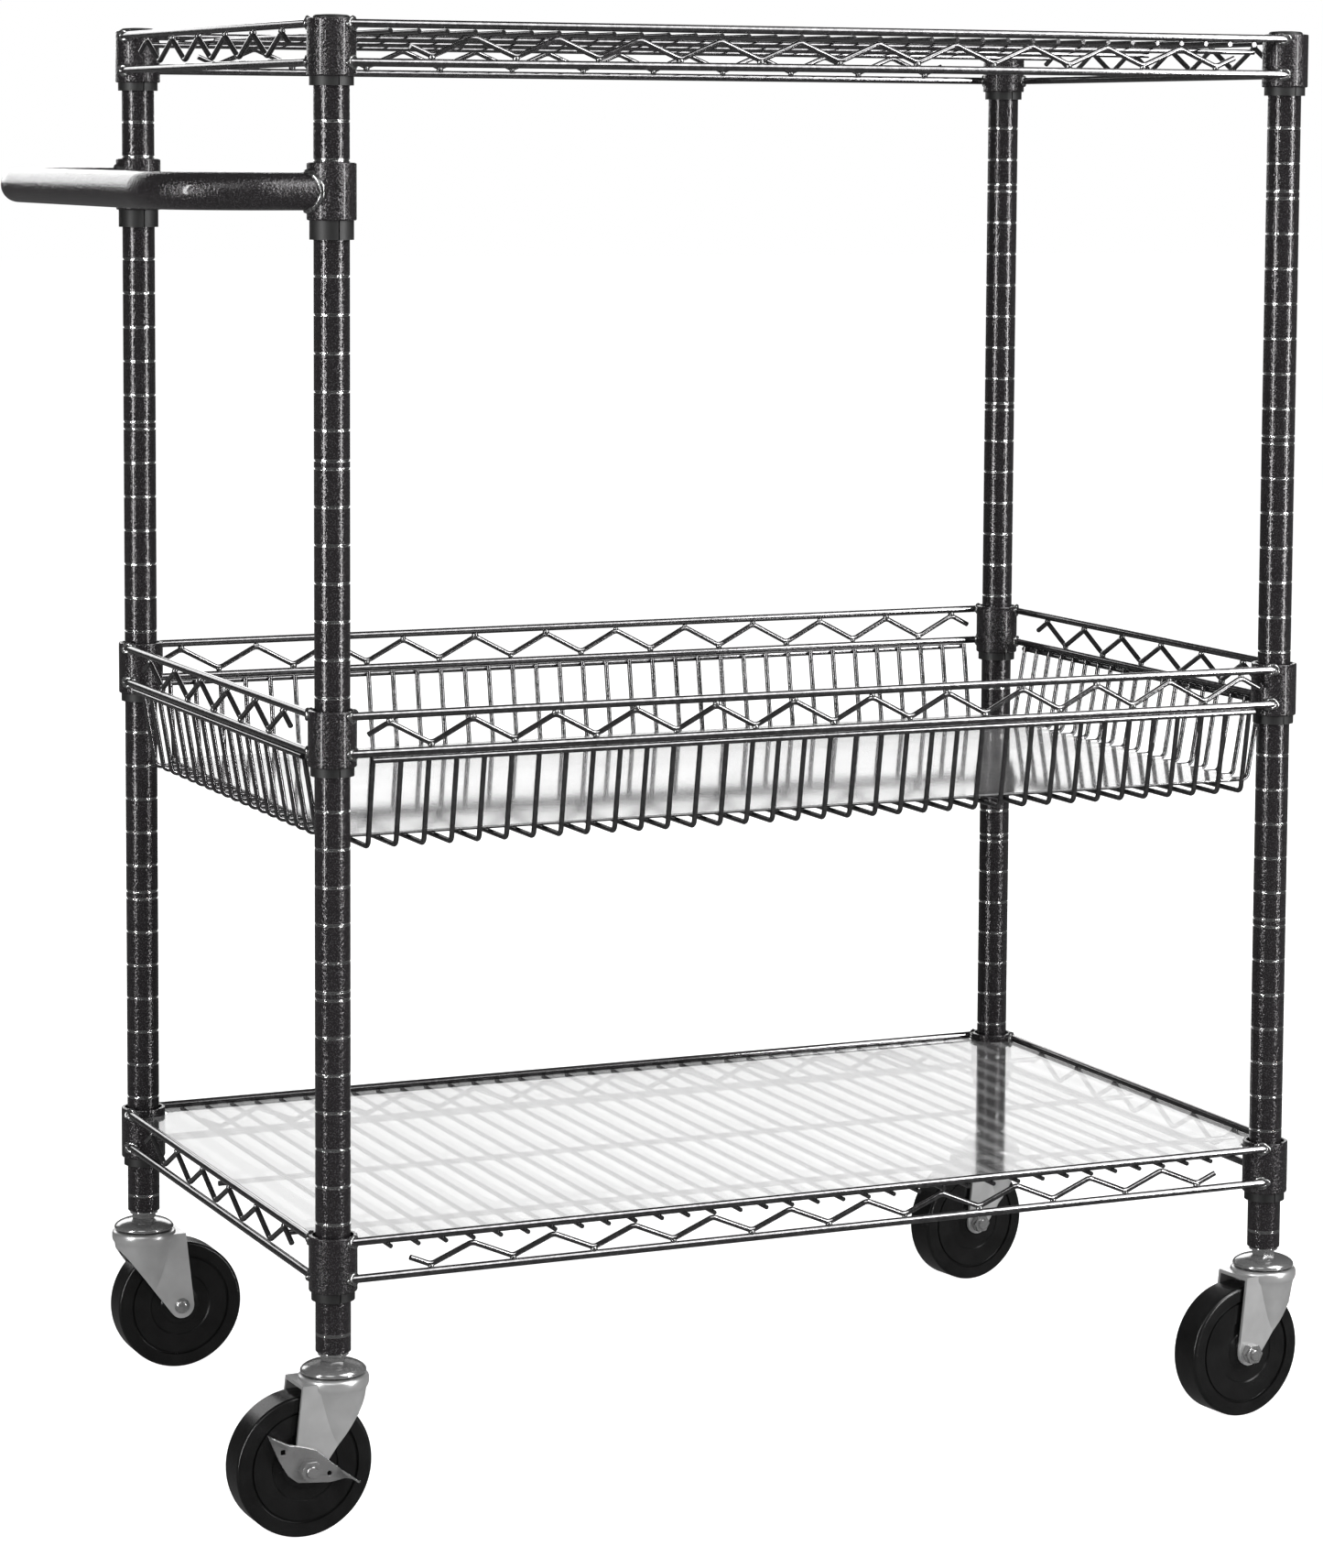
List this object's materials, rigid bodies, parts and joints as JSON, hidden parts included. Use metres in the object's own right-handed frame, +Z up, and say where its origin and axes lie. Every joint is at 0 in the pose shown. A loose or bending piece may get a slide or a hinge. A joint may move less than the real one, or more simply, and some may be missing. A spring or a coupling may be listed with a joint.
{
  "type": "wire shelf cart",
  "caption": "Wire shelf cart on swivel casters with an upper shelf, a middle basket, a lower shelf, loose plastic liners and an end push handle.",
  "frame": {"origin": "on the floor, at the centre of the whole cart's bounding box, with the handle standing out at -X", "axes": "+X along the shelves, away from the handle; -Y the front long side; +Z up"},
  "size_m": [0.8769, 0.4815, 1.0174],
  "materials": {
    "hammertone_coat": "charcoal black textured powder coat with a fine metallic sparkle",
    "black_plastic": "matte moulded black",
    "zinc_steel": "satin bright zinc plating",
    "wheel_plastic": "semi-gloss moulded black",
    "liner_film": "frosted translucent sheet"
  },
  "bodies": {
    "frame": {"back_left_caster_stem": "zinc_steel", "back_left_dust_cover": "zinc_steel", "back_left_lower_post": "hammertone_coat", "back_left_upper_post": "hammertone_coat", "back_right_caster_stem": "zinc_steel", "back_right_dust_cover": "zinc_steel", "back_right_lower_post": "hammertone_coat", "back_right_upper_post": "hammertone_coat", "basket_collars": "hammertone_coat", "basket_front_to_back_wires": "hammertone_coat", "basket_rails": "hammertone_coat", "basket_side_to_side_wires": "hammertone_coat", "basket_zigzags": "hammertone_coat", "front_left_caster_stem": "zinc_steel", "front_left_dust_cover": "zinc_steel", "front_left_lower_post": "hammertone_coat", "front_left_upper_post": "hammertone_coat", "front_right_caster_stem": "zinc_steel", "front_right_dust_cover": "zinc_steel", "front_right_lower_post": "hammertone_coat", "front_right_upper_post": "hammertone_coat", "handle_collars": "hammertone_coat", "handle_tube": "hammertone_coat", "joining_studs": "zinc_steel", "lower_shelf_collars": "hammertone_coat", "lower_shelf_deck_wires": "hammertone_coat", "lower_shelf_rails": "hammertone_coat", "lower_shelf_zigzags": "hammertone_coat", "post_caps": "black_plastic", "post_inserts": "zinc_steel", "split_sleeves": "black_plastic", "swivel_balls": "zinc_steel", "upper_shelf_collars": "hammertone_coat", "upper_shelf_deck_wires": "hammertone_coat", "upper_shelf_rails": "hammertone_coat", "upper_shelf_zigzags": "hammertone_coat"},
    "front_left_caster": {"front_left_axle_bolt": "zinc_steel", "front_left_axle_nut": "zinc_steel", "front_left_axle_sleeve": "zinc_steel", "front_left_fork": "zinc_steel"},
    "front_left_wheel": {"front_left_wheel": "wheel_plastic"},
    "front_left_brake": {"front_left_brake_lever": "zinc_steel"},
    "back_left_caster": {"back_left_axle_bolt": "zinc_steel", "back_left_axle_nut": "zinc_steel", "back_left_axle_sleeve": "zinc_steel", "back_left_fork": "zinc_steel"},
    "back_left_wheel": {"back_left_wheel": "wheel_plastic"},
    "back_left_brake": {"back_left_brake_lever": "zinc_steel"},
    "front_right_caster": {"front_right_axle_bolt": "zinc_steel", "front_right_axle_nut": "zinc_steel", "front_right_axle_sleeve": "zinc_steel", "front_right_fork": "zinc_steel"},
    "front_right_wheel": {"front_right_wheel": "wheel_plastic"},
    "back_right_caster": {"back_right_axle_bolt": "zinc_steel", "back_right_axle_nut": "zinc_steel", "back_right_axle_sleeve": "zinc_steel", "back_right_fork": "zinc_steel"},
    "back_right_wheel": {"back_right_wheel": "wheel_plastic"},
    "lower_shelf_liner": {"lower_shelf_liner": "liner_film"},
    "basket_liner": {"basket_liner": "liner_film"}
  },
  "joints": [
    {"name": "front_left_caster_swivel", "type": "hinge", "parent": "frame", "child": "front_left_caster", "pos_m": [-0.31755, -0.2132, 0.1], "axis": [0, 0, 1], "continuous": true},
    {"name": "front_left_wheel_spin", "type": "hinge", "parent": "front_left_caster", "child": "front_left_wheel", "pos_m": [-0.34253, -0.21407, 0.0485], "axis": [0.0349, -0.9994, 0], "continuous": true},
    {"name": "front_left_brake_press", "type": "hinge", "parent": "front_left_caster", "child": "front_left_brake", "pos_m": [-0.34253, -0.21407, 0.0485], "axis": [0.0349, -0.9994, 0], "range_deg": [0, 25]},
    {"name": "back_left_caster_swivel", "type": "hinge", "parent": "frame", "child": "back_left_caster", "pos_m": [-0.31755, 0.2132, 0.1], "axis": [0, 0, 1], "continuous": true},
    {"name": "back_left_wheel_spin", "type": "hinge", "parent": "back_left_caster", "child": "back_left_wheel", "pos_m": [-0.29255, 0.2132, 0.0485], "axis": [0, 1, 0], "continuous": true},
    {"name": "back_left_brake_press", "type": "hinge", "parent": "back_left_caster", "child": "back_left_brake", "pos_m": [-0.29255, 0.2132, 0.0485], "axis": [0, 1, 0], "range_deg": [0, 25]},
    {"name": "front_right_caster_swivel", "type": "hinge", "parent": "frame", "child": "front_right_caster", "pos_m": [0.41385, -0.2132, 0.1], "axis": [0, 0, 1], "continuous": true},
    {"name": "front_right_wheel_spin", "type": "hinge", "parent": "front_right_caster", "child": "front_right_wheel", "pos_m": [0.38909, -0.21668, 0.0485], "axis": [0.1392, -0.9903, 0], "continuous": true},
    {"name": "back_right_caster_swivel", "type": "hinge", "parent": "frame", "child": "back_right_caster", "pos_m": [0.41385, 0.2132, 0.1], "axis": [0, 0, 1], "continuous": true},
    {"name": "back_right_wheel_spin", "type": "hinge", "parent": "back_right_caster", "child": "back_right_wheel", "pos_m": [0.38923, 0.20886, 0.0485], "axis": [0.1736, -0.9848, 0], "continuous": true},
    {"name": "lower_shelf_liner_lift", "type": "slide", "parent": "frame", "child": "lower_shelf_liner", "axis": [0, 0, 1], "range_m": [0, 0.2]},
    {"name": "basket_liner_lift", "type": "slide", "parent": "frame", "child": "basket_liner", "axis": [0, 0, 1], "range_m": [0, 0.15]}
  ]
}
